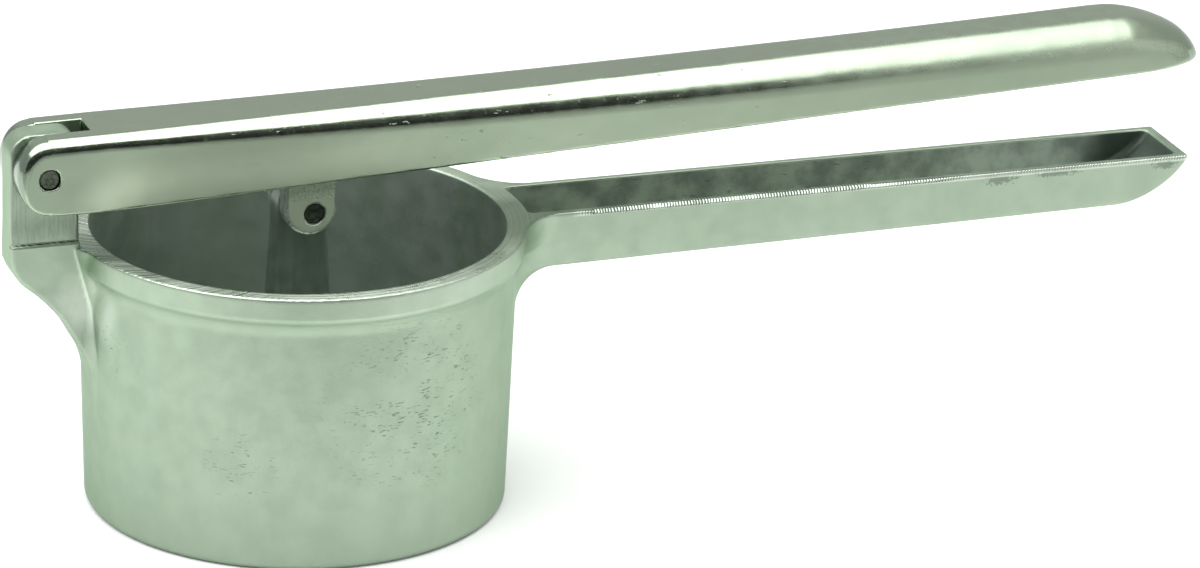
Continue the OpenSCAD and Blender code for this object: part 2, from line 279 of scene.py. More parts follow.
def lever_outside(x, wide, z, nose):
    """The lever as if solid: an elliptic hinge end, then a bar with rounded top edges up to the nose."""
    along = np.clip((x + 40) / 100, 0, 1.9)
    edge = 2.86 + 4.2 * along - 1.1 * along**2
    fading = 0.6 + (edge - 0.6) * smooth_step(z, HINGE[2] - 6.5, HINGE[2] + 1.5)
    edge = np.where(x < HINGE[0], fading, edge)
    reach = (x - HINGE[0]) * LEVER_END_R / LEVER_END_REACH
    ball = np.hypot(reach, z - HINGE[2]) - LEVER_END_R
    crown = np.where(x < HINGE[0], ball, z - lever_top(x))
    body = both(both(crown, wide - lever_half(x), edge), nose, 4.5)
    lift = 0.8 * np.exp(-np.clip(x - HINGE[0], 0, 99) / 7)
    low = np.where(x < HINGE[0], ball, lever_low(x) + lift - z)
    return both(body, low, 0.55)


def lever_lugs(x, wide, z):
    """The pair of lugs under the lever that hold the plunger's pin."""
    sides = np.maximum(np.abs(x - LUG[0]) - LUG_R, LUG[1] - z)
    lug = np.minimum(disc(x, z, LUG, LUG_R), sides)
    lug = np.maximum(lug, z - lever_top(x) + 1)
    middle = (LUG_FACE + LUG_INNER) / 2
    return both(lug, np.abs(wide - middle) - (LUG_FACE - LUG_INNER) / 2, 0.9)


def lever(x, y, z):
    """An inverted channel, slotted at the hinge for the tongue, with lugs for the plunger's pin."""
    wide = np.abs(y)
    nose = lever_nose(x, wide, z)
    body = lever_outside(x, wide, z, nose)

    roof = z - lever_top(x) + LEVER_WEB
    hollow = both(wide - lever_half(x) + LEVER_WALL, roof, 2.4)
    hollow = both(hollow, CHANNEL_X - x, 1.5)
    hollow = both(hollow, nose + 3.0, 2.0)
    body = cut(body, hollow, 0.4)

    slot = wide - TONGUE_HW - CHEEK_GAP
    gap = np.maximum(slot, x - SLOT_END_X)
    deep = np.maximum(np.maximum(slot, x - CHANNEL_X - 2), roof)
    body = cut(body, np.minimum(gap, deep), 0.35)

    body = either(body, lever_lugs(x, wide, z), 0.8)
    body = cut(body, pin_hole(x, z, PIVOT, LUG_HOLE), 0.12)
    return cut(body, pin_hole(x, z, HINGE, PIN_FIT), 0.12)


def stem(x, y, z):
    """The plunger's flat blade with a round eye, a cross rib and a round foot."""
    wide = np.abs(y)
    foot_z = STEM_LO[2]
    taper = STEM_TOP_R + 2.9 * np.clip((RIM_Z - z) / (RIM_Z - foot_z), 0, 1)
    blade = np.where(z > PIVOT[2], disc(x, z, (0, PIVOT[2]), STEM_TOP_R), np.abs(x) - taper)
    blade = both(blade, wide - STEM_HW, 0.7)
    rib = both((wide - (foot_z + STEM_RIB_H - z) / 3) * 0.949, np.abs(x) - STEM_HW, 0.7)
    r = np.hypot(x, y)
    foot = both(r - STEM_HI[1], z - foot_z - 3, 0.8)
    body = either(either(blade, rib, 1.5), foot, 1.6)
    body = np.maximum(body, foot_z - z)
    body = cut(body, pin_hole(x, z, PIVOT, PIN_FIT), 0.3)
    return cut(body, np.maximum(r - SCREW_R, z - foot_z - SCREW_DEPTH), 0.2)


# ---------------------------------------------------------------- from a distance function to a mesh

BLOCK = 8
BATCH = 500
NOWHERE_NEAR = 99.0
MARGIN_CELLS = 1.3
SURFACE_STEP = 0.04
NORMAL_STEP = 0.07
PIN_SIDES = 48
DISHED_BY = 0.18


def sample(shape, lo, cell, blocks):
    """Distances at the grid's nodes. Blocks that the surface can't reach only get their sign."""
    count = blocks * BLOCK + 1
    centres = [lo[a] + cell * BLOCK * (np.arange(blocks[a]) + 0.5) for a in range(3)]
    rough = shape(*np.meshgrid(*centres, indexing="ij"))
    sign = np.where(rough < 0, -NOWHERE_NEAR, NOWHERE_NEAR).astype(np.float32)
    for axis in range(3):
        sign = np.repeat(sign, BLOCK, axis)
        sign = np.concatenate([sign, np.take(sign, [-1], axis)], axis)
    field = sign.reshape(count)
    near = np.argwhere(np.abs(rough) < BLOCK * cell * 1.1)
    step = np.arange(BLOCK + 1)
    for start in range(0, len(near), BATCH):
        some = near[start : start + BATCH] * BLOCK
        i = (some[:, 0, None] + step)[:, :, None, None]
        j = (some[:, 1, None] + step)[:, None, :, None]
        k = (some[:, 2, None] + step)[:, None, None, :]
        i, j, k = np.broadcast_arrays(i, j, k)
        field[i, j, k] = shape(lo[0] + cell * i, lo[1] + cell * j, lo[2] + cell * k)
    return field


def gradient(shape, p, step):
    """Slope of the distance at the points p, by central differences."""
    g = np.empty_like(p)
    for a in range(3):
        q = p.copy()
        q[:, a] += step
        ahead = shape(*q.T)
        q[:, a] -= 2 * step
        g[:, a] = (ahead - shape(*q.T)) / (2 * step)
    return g


def skin(field, lo, cell):
    """One vertex in each cell that the surface crosses, and one quad round each crossed grid edge."""
    solid = field < 0
    corners = [np.array(c) for c in np.ndindex(2, 2, 2)]
    size = np.array(field.shape) - 1

    def view(c, of):
        return of[c[0] : c[0] + size[0], c[1] : c[1] + size[1], c[2] : c[2] + size[2]]

    total = sum(view(c, solid).astype(np.int8) for c in corners)
    cells = np.argwhere((total > 0) & (total < 8))
    index = np.full(tuple(size), -1, np.int64)
    index[tuple(cells.T)] = np.arange(len(cells))
    place = np.zeros((len(cells), 3))
    hits = np.zeros(len(cells))
    for c in corners:
        for axis in range(3):
            if c[axis]:
                continue
            d = c.copy()
            d[axis] = 1
            a = field[tuple((cells + c).T)].astype(float)
            b = field[tuple((cells + d).T)].astype(float)
            crossed = (a < 0) != (b < 0)
            t = np.where(crossed, a / np.where(crossed, a - b, 1), 0)
            place += crossed[:, None] * (c + t[:, None] * (d - c))
            hits += crossed
    points = lo + cell * (cells + place / hits[:, None])
    quads = []
    for axis in range(3):
        first = np.moveaxis(solid, axis, 0)
        change = np.argwhere(first[:-1] != first[1:])
        edges = np.empty_like(change)
        others = [a for a in range(3) if a != axis]
        edges[:, axis] = change[:, 0]
        edges[:, others[0]] = change[:, 1]
        edges[:, others[1]] = change[:, 2]
        inner = np.all((edges[:, others] > 0) & (edges[:, others] < size[others]), axis=1)
        edges = edges[inner]
        ring = []
        for du, dv in ((1, 1), (0, 1), (0, 0), (1, 0)):
            shift = np.zeros(3, int)
            shift[others[0]] = -du
            shift[others[1]] = -dv
            ring.append(index[tuple((edges + shift).T)])
        ring = np.stack(ring, 1)
        outward = solid[tuple(edges.T)]
        if axis == 1:
            outward = ~outward
        ring[~outward] = ring[~outward][:, ::-1]
        quads.append(ring)
    return points, np.concatenate(quads)


def placed(name, data):
    made = bpy.data.objects.new(name, data)
    bpy.context.scene.collection.objects.link(made)
    return made


def carve(name, shape, lo, hi, cell):
    """A mesh object of the shape, with vertices drawn onto the true surface and its true normals."""
    lo = np.array(lo, float) - MARGIN_CELLS * cell
    blocks = np.ceil((np.array(hi) + MARGIN_CELLS * cell - lo) / (cell * BLOCK)).astype(int)
    points, quads = skin(sample(shape, lo, cell, blocks), lo, cell)
    for _ in range(3):
        g = gradient(shape, points, SURFACE_STEP)
        away = shape(*points.T) / np.maximum((g * g).sum(1), 0.2)
        points -= g * np.clip(away, -0.3 * cell, 0.3 * cell)[:, None]
    normals = gradient(shape, points, NORMAL_STEP)
    normals /= np.maximum(np.linalg.norm(normals, axis=1, keepdims=True), 1e-6)
    mesh = bpy.data.meshes.new(name)
    mesh.vertices.add(len(points))
    mesh.vertices.foreach_set("co", (points * MM).astype(np.float32).ravel())
    mesh.loops.add(quads.size)
    mesh.loops.foreach_set("vertex_index", quads.astype(np.int32).ravel())
    mesh.polygons.add(len(quads))
    mesh.polygons.foreach_set("loop_start", np.arange(0, quads.size, 4, dtype=np.int32))
    mesh.polygons.foreach_set("use_smooth", np.ones(len(quads), bool))
    mesh.update(calc_edges=True)
    mesh.normals_split_custom_set_from_vertices(normals.astype(np.float32))
    return placed(name, mesh)


def turned_pin(name, centre, half_length, radius):
    """A headless pin across the object, lathed with a broken edge and a slightly dished end."""
    outline = [
        (radius * 0.55, half_length - 0.12),
        (radius - 0.35, half_length),
        (radius - 0.12, half_length - 0.06),
        (radius, half_length - 0.3),
        (radius, 0),
    ]
    outline += [(r, -h) for r, h in outline[-2::-1]]
    turns = PIN_SIDES
    middle = half_length - DISHED_BY
    verts = [(centre[0] * MM, side * middle * MM, centre[2] * MM) for side in (1, -1)]
    for r, h in outline:
        for k in range(turns):
            a = 2 * math.pi * k / turns
            x = centre[0] + r * math.cos(a)
            z = centre[2] + r * math.sin(a)
            verts.append((x * MM, h * MM, z * MM))
    faces = []
    last = 2 + (len(outline) - 1) * turns
    for k in range(turns):
        after = (k + 1) % turns
        faces.append((0, 2 + after, 2 + k))
        faces.append((1, last + k, last + after))
        for ring in range(len(outline) - 1):
            a = 2 + ring * turns + k
            b = 2 + ring * turns + after
            faces.append((a, b, b + turns, a + turns))
    mesh = bpy.data.meshes.new(name)
    mesh.from_pydata(verts, [], faces)
    mesh.validate()
    mesh.polygons.foreach_set("use_smooth", [True] * len(mesh.polygons))
    return placed(name, mesh)


# ---------------------------------------------------------------- materials


class Paint:
    """A Principled material with short ways to add nodes; coordinates are in millimetres."""

    def __init__(self, name):
        self.material = bpy.data.materials.new(name)
        self.material.use_nodes = True
        self.tree = self.material.node_tree
        self.shader = self.tree.nodes["Principled BSDF"]
        scaled = self.add("ShaderNodeMapping", Vector=self.add("ShaderNodeTexCoord").outputs["Object"])
        scaled.inputs["Scale"].default_value = (1 / MM, 1 / MM, 1 / MM)
        self.place = scaled.outputs[0]
        self.x, self.y, self.z = self.add("ShaderNodeSeparateXYZ", Vector=self.place).outputs

    def add(self, kind, settings=(), **inputs):
        made = self.tree.nodes.new(kind)
        for key, value in dict(settings).items():
            setattr(made, key, value)
        for key, value in inputs.items():
            self.put(made.inputs[key.replace("_", " ")], value)
        return made

    def put(self, socket, value):
        if isinstance(value, bpy.types.NodeSocket):
            self.tree.links.new(value, socket)
        else:
            socket.default_value = value

    def calc(self, operation, a, b=0.0):
        made = self.add("ShaderNodeMath", {"operation": operation})
        self.put(made.inputs[0], a)
        self.put(made.inputs[1], b)
        return made.outputs[0]

    def times(self, first, *more):
        for other in more:
            first = self.calc("MULTIPLY", first, other)
        return first

    def most(self, first, *more):
        for other in more:
            first = self.calc("MAXIMUM", first, other)
        return first

    def size_of(self, value):
        return self.calc("ABSOLUTE", value)

    def all_but(self, share):
        return self.calc("SUBTRACT", 1.0, share)

    def vector_calc(self, operation, a, b=(0, 0, 0)):
        made = self.add("ShaderNodeVectorMath", {"operation": operation})
        self.put(made.inputs[0], a)
        self.put(made.inputs[1], b)
        return made.outputs["Value" if operation in ("DISTANCE", "LENGTH") else "Vector"]

    def hypotenuse(self, a, b):
        return self.calc("SQRT", self.calc("ADD", self.times(a, a), self.times(b, b)))

    def ramp(self, value, low, high, start=0.0, end=1.0):
        """Goes smoothly from start at low to end at high."""
        made = self.add("ShaderNodeMapRange", {"interpolation_type": "SMOOTHSTEP"}, Value=value)
        made.inputs["From Min"].default_value = low
        made.inputs["From Max"].default_value = high
        made.inputs["To Min"].default_value = start
        made.inputs["To Max"].default_value = end
        return made.outputs[0]

    def stretched(self, scale):
        return self.add("ShaderNodeMapping", Vector=self.place, Scale=scale).outputs[0]

    def noise(self, scale, detail=3.0, rough=0.55, vector=None):
        made = self.add("ShaderNodeTexNoise", Vector=vector or self.place)
        made.inputs["Scale"].default_value = scale
        made.inputs["Detail"].default_value = detail
        made.inputs["Roughness"].default_value = rough
        return made.outputs[0]

    def line_noise(self, along, scale):
        made = self.add("ShaderNodeTexNoise", {"noise_dimensions": "1D"}, W=along)
        made.inputs["Scale"].default_value = scale
        made.inputs["Detail"].default_value = 4.0
        return made.outputs[0]

    def blend(self, share, a, b):
        """Colour a where share is 0, colour b where it is 1."""
        factor, first, second, result = 0, 6, 7, 2
        made = self.add("ShaderNodeMix", {"data_type": "RGBA"})
        self.put(made.inputs[factor], share)
        self.put(made.inputs[first], a)
        self.put(made.inputs[second], b)
        return made.outputs[result]

    def facing(self, axis):
        """The surface's normal along X, Y or Z, in the piece's own rest frame."""
        way = {"vector_type": "NORMAL", "convert_from": "WORLD", "convert_to": "OBJECT"}
        turned = self.add("ShaderNodeVectorTransform", way)
        self.put(turned.inputs[0], self.add("ShaderNodeNewGeometry").outputs["Normal"])
        return self.add("ShaderNodeSeparateXYZ", Vector=turned.outputs[0]).outputs[axis]

    def pits(self, centre, reach, spacing, size):
        """Small casting pits that thin out with distance from a centre, in patches."""
        flecks = self.noise(1 / spacing, 2.0, 0.6, self.stretched((0.4, 0.4, 1.9)))
        spots = self.ramp(flecks, 0.70 - size, 0.76 - size)
        near = self.ramp(self.vector_calc("DISTANCE", self.place, centre), reach, 0.35 * reach)
        patchy = self.ramp(self.noise(0.25, 3.0), 0.42, 0.56)
        return self.times(spots, self.times(near, patchy))

    def smudge(self, centre, reach):
        """A soft speckled mark of the given half sizes along X, Y and Z."""
        offset = self.vector_calc("SUBTRACT", self.place, centre)
        gap = self.vector_calc("LENGTH", self.vector_calc("DIVIDE", offset, reach))
        ragged = self.ramp(self.noise(1.4, 3.0, 0.7), 0.3, 0.7, -0.5, 0.5)
        return self.ramp(self.calc("ADD", gap, ragged), 1.1, 0.7)

    def bump(self, *layers):
        """Each layer is (height, its size in millimetres)."""
        normal = None
        for height, size in layers:
            made = self.add("ShaderNodeBump", Height=height)
            made.inputs["Distance"].default_value = size * MM
            if normal is not None:
                self.put(made.inputs["Normal"], normal)
            normal = made.outputs[0]
        return normal

    def metal(self, colour, roughness, normal, edge=(1, 1, 1, 1)):
        self.shader.inputs["Metallic"].default_value = 1.0
        self.shader.inputs["Specular Tint"].default_value = edge
        self.put(self.shader.inputs["Base Color"], colour)
        self.put(self.shader.inputs["Roughness"], roughness)
        self.put(self.shader.inputs["Normal"], normal)
        return self.material


EDGE_TINT = (0.6, 0.68, 0.6, 1)
PALE = (0.358, 0.445, 0.344, 1)
PALE_WARM = (0.382, 0.462, 0.361, 1)
# Lighter than PALE: painted light inside the cup and the trough, a plain tone on the pressed sheets.
INNER = (0.435, 0.49, 0.448, 1)
# Painted light: near-white tone for the inside of the handle's trough.
TROUGH_PAINTED_LIGHT = (0.74, 0.82, 0.73, 1)
# Painted light: lighter tone for the lugs and the lever's underside.
LUG_PAINTED_LIGHT = (0.46, 0.54, 0.45, 1)
# Painted highlight colour for the lugs' lower edge.
LUG_EDGE_HIGHLIGHT = (0.95, 0.97, 0.95, 1)
# Painted light colour for the lever's cheeks near the hinge.
CHEEK_PAINTED_LIGHT = (0.70, 0.80, 0.62, 1)
STEM_DARK = (0.31, 0.365, 0.315, 1)
STEM_PALE = (0.42, 0.485, 0.42, 1)
LEVER_PALE = (0.372, 0.455, 0.342, 1)
LEVER_WARM = (0.395, 0.47, 0.355, 1)
PIN_DARK = (0.05, 0.062, 0.046, 1)
PIN_PALE = (0.14, 0.165, 0.125, 1)
DEEP = (0.24, 0.30, 0.235, 1)
PIT_DARK = (0.12, 0.16, 0.13, 1)
BRIGHT = (0.72, 0.79, 0.70, 1)

INSIDE_R = 40.6
BELOW_RIM = RIM_Z - 0.25
NOOK = (-43, 7.5, 45)

# each patch of pits: centre, reach, spacing, size
OUTSIDE_PITS = (
    ((11, -40, 32), 22, 0.6, 0.085),
    ((-22, -36, 21), 9, 0.7, 0.07),
    ((-40, -13, 38), 7, 0.9, 0.05),
    ((-8, 41, 24), 20, 0.9, 0.05),
)
TROUGH_PITS = ((95, 7, 54), 48, 1.0, 0.09)
LEVER_PITS = ((40, -9, 70), 75, 1.1, 0.02)
LEVER_SCUFF = ((63, -8.5, 78), 5, 0.7, 0.08)

# each smudge on the handle's near side: centre, half sizes
SMUDGES = (
    ((142.6, -9.4, 54.6), (3.2, 4, 1.1)),
    ((154.7, -9.4, 55), (4.4, 4, 0.9)),
    ((178, -9.4, 54.6), (2.6, 4, 0.9)),
)


def cup_inside(p):
    within = p.calc("LESS_THAN", p.hypotenuse(p.x, p.y), INSIDE_R)
    return p.times(within, p.calc("LESS_THAN", p.z, BELOW_RIM))


def handle_trough(p):
    floor_z = RIM_Z - HANDLE_END_D + HANDLE_WALL - 0.4
    return p.times(
        p.calc("GREATER_THAN", p.x, RIM_R),
        p.calc("LESS_THAN", p.z, BELOW_RIM),
        p.ramp(p.size_of(p.y), HANDLE_HW - 1.0, HANDLE_HW - 1.4),
        p.calc("GREATER_THAN", p.z, floor_z),
    )


def hopper_tones(p, inner, trough):
    """Cloudy satin outside; painted light in the cup and the trough, painted shade at the trough's tip end
    and low on the bracket side, painted highlights on the rim band and beside the bracket.
    """
    cloud = p.ramp(p.noise(0.055, 4.0, 0.6), 0.3, 0.7)
    upright = p.noise(0.09, 3.0, 0.5, p.stretched((1.6, 1.6, 0.12)))
    colour = p.blend(cloud, PALE, PALE_WARM)
    colour = p.blend(p.ramp(upright, 0.3, 0.8, 0.0, 0.12), colour, DEEP)
    soft_streaks = p.ramp(p.noise(0.12, 3.0, 0.5, p.stretched((1.3, 1.3, 0.1))), 0.35, 0.65)
    # Painted light: the cup's inside gets a lighter copy of the casting's colour, with soft streaks.
    colour = p.blend(inner, colour, p.blend(p.times(soft_streaks, 0.5), INNER, PALE))
    # Painted light: the handle's trough gets a near-white copy of the casting's colour, mottled with the
    # lighter inside tone.
    colour = p.blend(trough, colour, p.blend(p.ramp(p.noise(0.16, 4.0), 0.35, 0.65), TROUGH_PAINTED_LIGHT, INNER))
    # Painted shade: the trough's inner end near the tip goes almost black.
    trough_tip_painted_shade = p.times(trough, p.ramp(p.x, HANDLE_TIP_X - 19, HANDLE_TIP_X - 10))
    colour = p.blend(p.times(trough_tip_painted_shade, 0.95), colour, PIT_DARK)

    outside = p.all_but(inner)
    # Painted shade: the cup's outer wall below the rim band darkens towards the bracket side (smaller x).
    painted_shade_hinge_side = p.times(p.ramp(p.x, 30, 0), p.ramp(p.z, RIM_Z - 6, RIM_Z - 9), outside)
    colour = p.blend(p.times(painted_shade_hinge_side, 0.16), colour, PIT_DARK)
    # Painted highlight: the rim band outside is lightened more towards the handle side (larger x),
    # stopping before the handle's root.
    band = p.times(p.ramp(p.z, RIM_Z - 6.5, RIM_Z - 5.5), p.ramp(p.x, -12, 12, 0.0, 0.18))
    band = p.times(band, p.times(outside, p.ramp(p.x, 42, 34)))
    colour = p.blend(band, colour, BRIGHT)
    # Painted highlight: a soft light patch on the cup beside each side of the bracket, below the rim.
    either_side = p.add("ShaderNodeCombineXYZ", X=p.x, Y=p.size_of(p.y), Z=p.z).outputs[0]
    nook_painted_highlight = p.ramp(p.vector_calc("DISTANCE", either_side, NOOK), 9, 3, 0.0, 0.55)
    return p.blend(nook_painted_highlight, colour, BRIGHT)


def hopper_pits(p, inner, trough):
    outside = p.most(*(p.pits(*patch) for patch in OUTSIDE_PITS))
    in_trough = p.times(p.pits(*TROUGH_PITS), trough)
    return p.most(p.times(outside, p.all_but(inner)), in_trough)


def filed_rim(p):
    """Where the rim is filed bright, and its scratches: across near the hinge, round it elsewhere."""
    top = p.times(p.ramp(p.facing(2), 0.5, 0.9), p.ramp(p.z, RIM_Z - 1.4, RIM_Z - 0.8))
    top = p.times(top, p.calc("LESS_THAN", p.z, BRACKET_STEP + 1))
    rim = p.times(top, p.ramp(p.x, RIM_R + 6, RIM_R + 1), p.ramp(p.x, 30, 38, 1.0, 0.25))
    radius = p.hypotenuse(p.x, p.y)
    around = p.times(p.calc("ARCTAN2", p.y, p.x), MOUTH_R)
    strokes = p.line_noise(p.calc("ADD", around, p.times(radius, 0.7)), 1.5)
    scratch = p.blend(p.ramp(p.x, -30, -8), strokes, p.line_noise(radius, 2.4))
    return rim, p.ramp(scratch, 0.38, 0.62)


def chattered_edge(p):
    """Where the handle's near edge is filed, and the tool's chatter marks on it."""
    near_edge = p.times(p.ramp(p.y, -7.4, -7.9), p.ramp(p.z, RIM_Z - 1.1, RIM_Z - 0.7))
    near_edge = p.times(near_edge, p.ramp(p.x, RIM_R + 8, RIM_R + 11))
    bands = {"wave_type": "BANDS", "bands_direction": "X"}
    teeth = p.add("ShaderNodeTexWave", bands, Vector=p.place)
    teeth.inputs["Scale"].default_value = 0.52
    teeth.inputs["Distortion"].default_value = 2.2
    teeth.inputs["Detail"].default_value = 3.0
    broken = p.ramp(p.noise(0.12, 2.0), 0.35, 0.6, 0.25, 1.0)
    fading = p.ramp(p.x, 150, 95, 0.35, 1.0)
    return near_edge, p.times(near_edge, p.times(broken, fading), teeth.outputs["Fac"])


def ground_tongue(p):
    ground = p.times(
        p.ramp(p.x, TONGUE_FRONT + 1, TONGUE_FRONT),
        p.ramp(p.z, BRACKET_STEP, BRACKET_STEP + 0.2),
        p.ramp(p.size_of(p.facing(1)), 0.6, 0.9),
    )
    return ground, p.noise(1.0, 3.0, 0.6, p.stretched((2.2, 2.2, 0.16)))


def hopper_material():
    """Tumbled casting: cloudy satin with patches of pits, a filed rim and one chattered edge."""
    p = Paint("cast_hopper")
    inner = cup_inside(p)
    trough = handle_trough(p)
    pits = hopper_pits(p, inner, trough)
    rim, scratch = filed_rim(p)
    near_edge, marked = chattered_edge(p)
    ground, grinding = ground_tongue(p)

    colour = hopper_tones(p, inner, trough)
    colour = p.blend(p.times(pits, 0.6), colour, PIT_DARK)
    smudges = p.most(*(p.smudge(*mark) for mark in SMUDGES))
    colour = p.blend(p.times(smudges, 0.6), colour, PIT_DARK)
    bruised = p.times(rim, p.ramp(p.x, -10, -30))
    colour = p.blend(p.times(bruised, 0.7), colour, PIT_DARK)
    colour = p.blend(p.times(rim, p.ramp(scratch, 0.2, 1, 0.25, 1.0)), colour, BRIGHT)
    colour = p.blend(p.times(near_edge, 0.7), colour, BRIGHT)
    colour = p.blend(p.times(marked, 0.85), colour, PIT_DARK)
    colour = p.blend(p.times(ground, p.ramp(grinding, 0.4, 0.7, 0.1, 0.6)), colour, DEEP)

    roughness = p.ramp(p.noise(0.2, 3.0), 0.3, 0.7, 0.40, 0.50)
    roughness = p.calc("SUBTRACT", roughness, p.times(rim, 0.16))
    roughness = p.calc("ADD", roughness, p.times(p.most(inner, trough), 0.1))
    roughness = p.calc("SUBTRACT", roughness, p.times(near_edge, 0.16))
    normal = p.bump(
        (p.noise(0.12, 2.0), 0.12),
        (p.noise(1.6, 3.0, 0.6), 0.02),
        (p.times(pits, -1.0), 0.12),
        (p.times(rim, scratch), 0.05),
        (marked, 0.16),
        (p.times(ground, grinding), 0.06),
    )
    return p.metal(colour, roughness, normal, EDGE_TINT)


def lug_marks(p):
    """Rough fettling marks across the roots of the lever's lugs."""
    beside = p.size_of(p.calc("SUBTRACT", p.x, LUG[0]))
    return p.times(
        p.ramp(p.z, RIM_Z + 11.0, RIM_Z + 9.6),
        p.ramp(p.z, RIM_Z + 5.5, RIM_Z + 9.0),
        p.ramp(beside, LUG_R + 1, LUG_R),
        p.ramp(p.noise(1.5, 3.0, 0.7), 0.45, 0.6),
    )


# Painted highlight: the lug's lower arc edge painted near white, standing in for the light it catches.
def painted_lug_edge_highlight(p, inward):
    across = p.calc("POWER", p.calc("SUBTRACT", p.x, LUG[0]), 2)
    upward = p.calc("POWER", p.calc("SUBTRACT", p.z, LUG[1]), 2)
    from_centre = p.calc("SQRT", p.calc("ADD", across, upward))
    return p.times(
        p.ramp(from_centre, LUG_R - 0.9, LUG_R - 0.5),
        inward,
        p.ramp(p.z, LUG[1] + 2, LUG[1] - 1),
        p.ramp(p.noise(1.2, 2.0), 0.35, 0.5),
    )


def lever_material():
    """The same casting, smoother: nearly polished round the hinge and duller towards the tip."""
    p = Paint("cast_lever")
    colour = p.blend(p.ramp(p.noise(0.05, 4.0, 0.6), 0.3, 0.7), LEVER_PALE, LEVER_WARM)
    colour = p.blend(p.ramp(p.x, 20, 150, 0.0, 0.16), colour, PIT_DARK)
    # Painted shade: the lever's round end is darkened where it faces back.
    hinge_end_painted_shade = p.times(p.ramp(p.x, HINGE[0] - 1, HINGE[0] - 4), p.ramp(p.facing(0), -0.3, -0.7))
    colour = p.blend(hinge_end_painted_shade, colour, DEEP)
    spots = p.pits(*LEVER_PITS)
    scuff = p.pits(*LEVER_SCUFF)
    colour = p.blend(p.times(spots, 0.55), colour, PIT_DARK)

    above_edge = p.calc("SUBTRACT", p.z, p.times(p.x, LEVER_LOW_SLOPE))
    inward = p.ramp(p.size_of(p.y), LUG_FACE + 0.5, LUG_FACE + 0.3)
    inward = p.times(inward, p.ramp(above_edge, RIM_Z + 13.0, RIM_Z + 12.4))
    # Painted light: the lugs and the channel's underside get a lighter copy of the lever's colour.
    colour = p.blend(inward, colour, LUG_PAINTED_LIGHT)
    colour = p.blend(painted_lug_edge_highlight(p, inward), colour, LUG_EDGE_HIGHLIGHT)

    cheek = p.ramp(p.size_of(p.facing(1)), 0.94, 0.985)
    # Painted light: the cheeks' lower part, from near the hinge end to x of 32, is lightened.
    cheek_painted_light = p.times(p.ramp(above_edge, RIM_Z + 21, RIM_Z + 13.5), p.ramp(p.x, 32, 4))
    cheek_painted_light = p.times(cheek_painted_light, cheek, p.ramp(p.x, -48, -38))
    colour = p.blend(p.times(cheek_painted_light, 0.8), colour, CHEEK_PAINTED_LIGHT)
    # Painted shade: the cheeks darken towards the round end at the hinge.
    colour = p.blend(p.times(cheek, p.ramp(p.x, -36, -48, 0.0, 0.25)), colour, PIT_DARK)

    dull = p.ramp(p.x, 55, 140)
    uneven = p.ramp(p.noise(0.3, 3.0), 0.3, 0.7, -0.02, 0.03)
    roughness = p.calc("ADD", p.ramp(dull, 0, 1, 0.17, 0.28), uneven)
    roughness = p.calc("ADD", roughness, p.times(inward, 0.22))
    roughness = p.calc("ADD", roughness, p.times(cheek, 0.24))
    speckle = p.ramp(p.noise(2.4, 3.0, 0.7), 0.6, 0.75)
    normal = p.bump(
        (p.noise(0.07, 2.0), 0.25),
        (p.times(speckle, p.all_but(dull)), 0.012),
        (p.times(p.most(spots, scuff), -1.0), 0.1),
        (lug_marks(p), 0.25),
    )
    return p.metal(colour, roughness, normal)


def stem_material():
    p = Paint("cast_stem")
    streaks = p.noise(0.3, 3.0, 0.55, p.stretched((1, 1, 0.12)))
    colour = p.blend(p.ramp(streaks, 0.3, 0.7), STEM_DARK, STEM_PALE)
    roughness = p.ramp(p.noise(0.4, 2.0), 0.3, 0.7, 0.42, 0.52)
    return p.metal(colour, roughness, p.bump((streaks, 0.1), (p.noise(2.0, 3.0), 0.015)))


def sheet_material():
    """Pressed sheet with fine turning rings about the cup's axis."""
    p = Paint("pressed_sheet")
    rings = p.line_noise(p.hypotenuse(p.x, p.y), 2.2)
    colour = p.blend(p.ramp(rings, 0.3, 0.7), INNER, PALE)
    roughness = p.ramp(p.noise(0.25, 3.0), 0.3, 0.7, 0.26, 0.36)
    return p.metal(colour, roughness, p.bump((rings, 0.03), (p.noise(0.3, 2.0), 0.1)))


def pin_material():
    p = Paint("pin_steel")
    fine = p.noise(1.3, 4.0, 0.65)
    colour = p.blend(p.ramp(fine, 0.35, 0.7), PIN_DARK, PIN_PALE)
    return p.metal(colour, p.ramp(fine, 0.3, 0.7, 0.35, 0.55), p.bump((fine, 0.08)))


def wear(piece, material):
    """Gives a piece this material alone."""
    piece.data.materials.clear()
    piece.data.materials.append(material)


# ---------------------------------------------------------------- pieces


HOPPER_CELL = 0.5
FINE_CELL = 0.42
PINS = pin_material()
SHEET = sheet_material()


def add_piece(piece, node, body, material):
    wear(piece, material)
    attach(piece, body)
    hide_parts(node)


add_piece(
    carve("hopper_body", hopper, HOPPER_LO, HOPPER_HI, HOPPER_CELL),
    "hopper_casting", "hopper", hopper_material(),
)
add_piece(
    carve("lever_body", lever, LEVER_LO, LEVER_HI, FINE_CELL),
    "press_lever", "lever", lever_material(),
)
add_piece(
    carve("stem_body", stem, STEM_LO, STEM_HI, FINE_CELL),
    "plunger_stem", "plunger", stem_material(),
)
add_piece(
    turned_pin("hinge_pin_body", HINGE, box_mm("hinge_pin")[1][1], PIN_R),
    "hinge_pin", "hopper", PINS,
)
add_piece(
    turned_pin("plunger_pin_body", PIVOT, box_mm("plunger_pin")[1][1], PIN_R),
    "plunger_pin", "lever", PINS,
)
for name, finish in (("strainer_disc", SHEET), ("press_disc", SHEET), ("plunger_screw", PINS)):
    wear(frame["nodes"][name], finish)


# ---------------------------------------------------------------- camera


AZIMUTH = math.radians(-20.03)
ELEVATION = math.radians(20.46)
ROLL = math.radians(1.76)
DISTANCE = 1.2577
TARGET = Vector((0.06215, 0, 0.03685))
FOCAL = 192.0

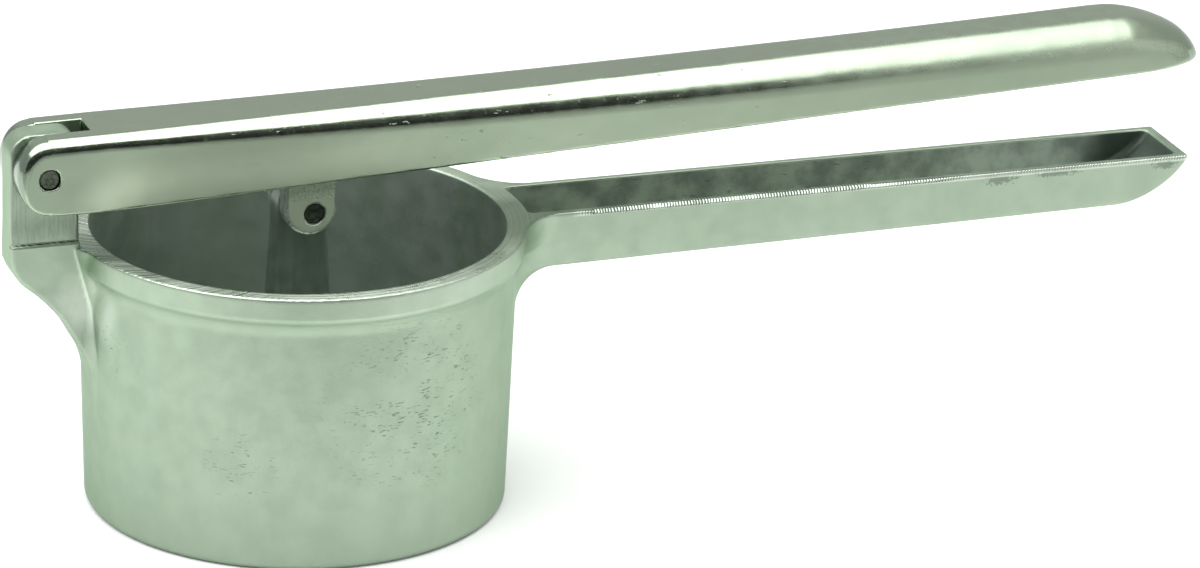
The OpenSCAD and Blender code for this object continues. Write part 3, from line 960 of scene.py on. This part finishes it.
back = Vector(
    (
        math.sin(AZIMUTH) * math.cos(ELEVATION),
        -math.cos(AZIMUTH) * math.cos(ELEVATION),
        math.sin(ELEVATION),
    )
)
level_right = Vector((math.cos(AZIMUTH), math.sin(AZIMUTH), 0))
level_up = back.cross(level_right)
right = level_right * math.cos(ROLL) + level_up * math.sin(ROLL)
up = level_up * math.cos(ROLL) - level_right * math.sin(ROLL)
camera_data = bpy.data.cameras.new("camera")
camera_data.lens = FOCAL
camera_data.sensor_width = 36
camera_data.clip_end = 50
camera = placed("camera", camera_data)
turn = Matrix((right, up, back)).transposed().to_4x4()
camera.matrix_world = Matrix.Translation(TARGET + back * DISTANCE) @ turn
bpy.context.scene.camera = camera


# ---------------------------------------------------------------- studio: floor, softbox and cards


def card(name, corners, material):
    mesh = bpy.data.meshes.new(name)
    mesh.from_pydata(corners, [], [(0, 1, 2, 3)])
    mesh.materials.append(material)
    made = placed(name, mesh)
    return made


def plain(name, colour, roughness):
    material = bpy.data.materials.new(name)
    material.use_nodes = True
    shader = material.node_tree.nodes["Principled BSDF"]
    shader.inputs["Base Color"].default_value = colour
    shader.inputs["Roughness"].default_value = roughness
    shader.inputs["Specular IOR Level"].default_value = 0.0
    return material


FLOOR = 4.0
card(
    "floor",
    [(-FLOOR, -FLOOR, 0), (FLOOR, -FLOOR, 0), (FLOOR, FLOOR, 0), (-FLOOR, FLOOR, 0)],
    plain("pale_floor", (0.87, 0.88, 0.87, 1), 1.0),
)
shade = card(
    "dark_card",
    [(-0.7, -0.3, 0.06), (0.23, -0.3, 0.06), (0.23, -0.3, 0.5), (-0.7, -0.3, 0.5)],
    plain("dark_card", (0.02, 0.02, 0.02, 1), 1.0),
)
table = card(
    "grey_table",
    [(-2, -3, 0.0005), (2, -3, 0.0005), (2, -0.165, 0.0005), (-2, -0.165, 0.0005)],
    plain("grey_table", (0.42, 0.43, 0.42, 1), 1.0),
)
bounce = card(
    "white_card",
    [(0.34, -0.5, 0.04), (1.3, -0.1, 0.04), (1.3, -0.1, 0.5), (0.34, -0.5, 0.5)],
    plain("white_card", (0.75, 0.75, 0.75, 1), 1.0),
)
for seen_in_metal_only in (shade, table, bounce):
    seen_in_metal_only.visible_camera = False
    seen_in_metal_only.visible_diffuse = False
    seen_in_metal_only.visible_shadow = False
    seen_in_metal_only.visible_transmission = False

softbox_data = bpy.data.lights.new("softbox", "AREA")
softbox_data.shape = "RECTANGLE"
softbox_data.size = 1.84
softbox_data.size_y = 1.75
softbox_data.energy = 28
softbox = placed("softbox", softbox_data)
softbox.location = (-0.3, -0.08, 0.97)
softbox.visible_camera = False

world = bpy.data.worlds.new("studio")
bpy.context.scene.world = world
world.use_nodes = True
background = world.node_tree.nodes["Background"]
background.inputs["Color"].default_value = (0.96, 0.98, 0.96, 1)
background.inputs["Strength"].default_value = 0.6
bpy.context.scene.view_settings.view_transform = "Standard"
